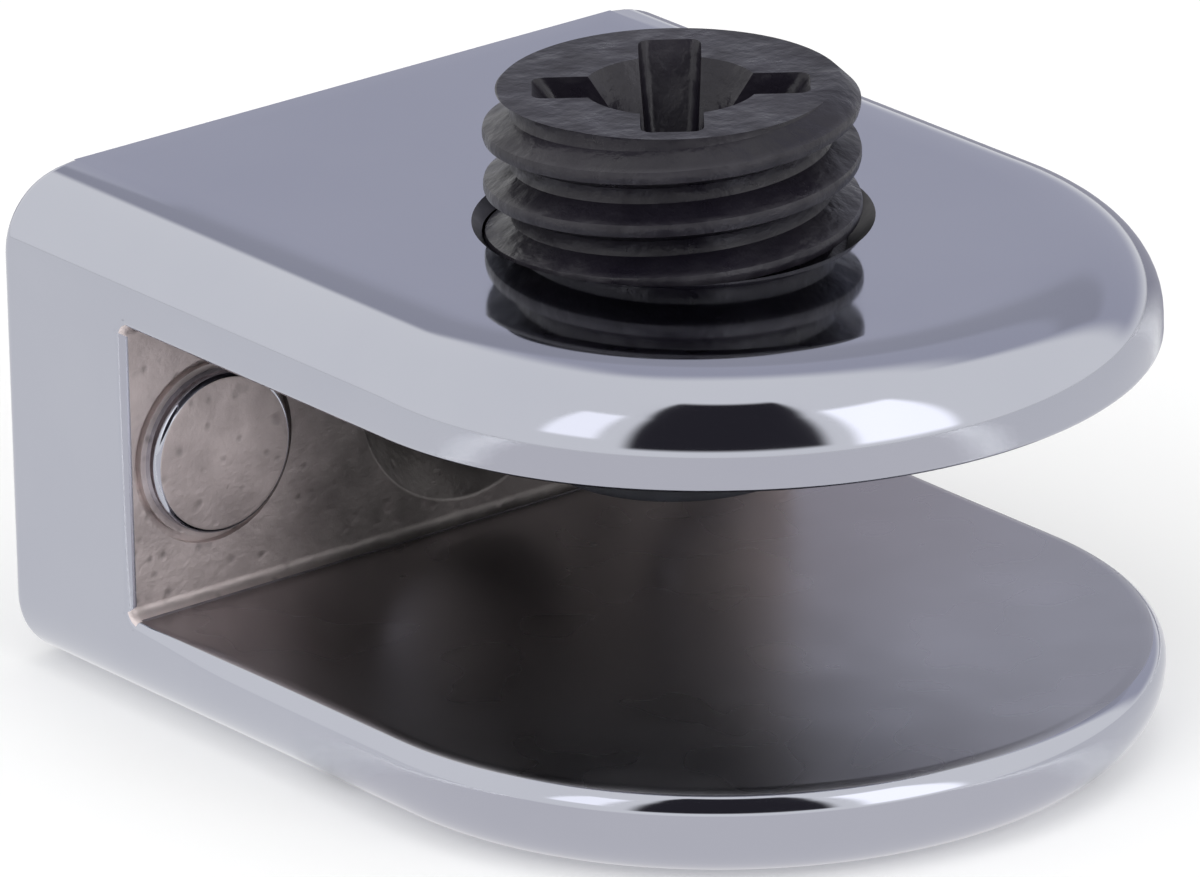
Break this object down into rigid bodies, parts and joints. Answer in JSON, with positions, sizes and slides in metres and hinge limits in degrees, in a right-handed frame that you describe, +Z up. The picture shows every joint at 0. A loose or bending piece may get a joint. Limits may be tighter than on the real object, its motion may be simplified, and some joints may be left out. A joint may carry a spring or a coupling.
{
  "type": "glass panel clamp",
  "caption": "Chrome-plated cast fork that grips the edge of a glass pane, with a plastic clamping screw through its upper jaw and a soft pad under the screw.",
  "frame": {"origin": "on the axis of the fixing hole, at the flat back face and level with the middle of the slot", "axes": "+X across the width, +Y out of the back face towards the wall, +Z up along the clamping screw towards its recess"},
  "size_m": [0.0276, 0.0338, 0.021],
  "materials": {
    "plated_casting": "polished",
    "screw_plastic": "satin",
    "pad_rubber": "matte"
  },
  "bodies": {
    "fork": {"clamp_body": "plated_casting"},
    "pad": {"pressure_pad": "pad_rubber"},
    "screw": {"clamp_screw": "screw_plastic"}
  },
  "joints": [
    {"name": "pad_slide", "type": "slide", "parent": "fork", "child": "pad", "axis": [0, 0, -1], "range_m": [-0.0047, 0.0052]},
    {"name": "screw_turn", "type": "hinge", "parent": "pad", "child": "screw", "pos_m": [0, -0.0174, 0.007], "axis": [0, 0, -1], "range_deg": [-967, 1070]}
  ],
  "couplings": [
    {"joint": "screw_turn", "follows": "pad_slide", "rad_per_m": 3590.4}
  ]
}
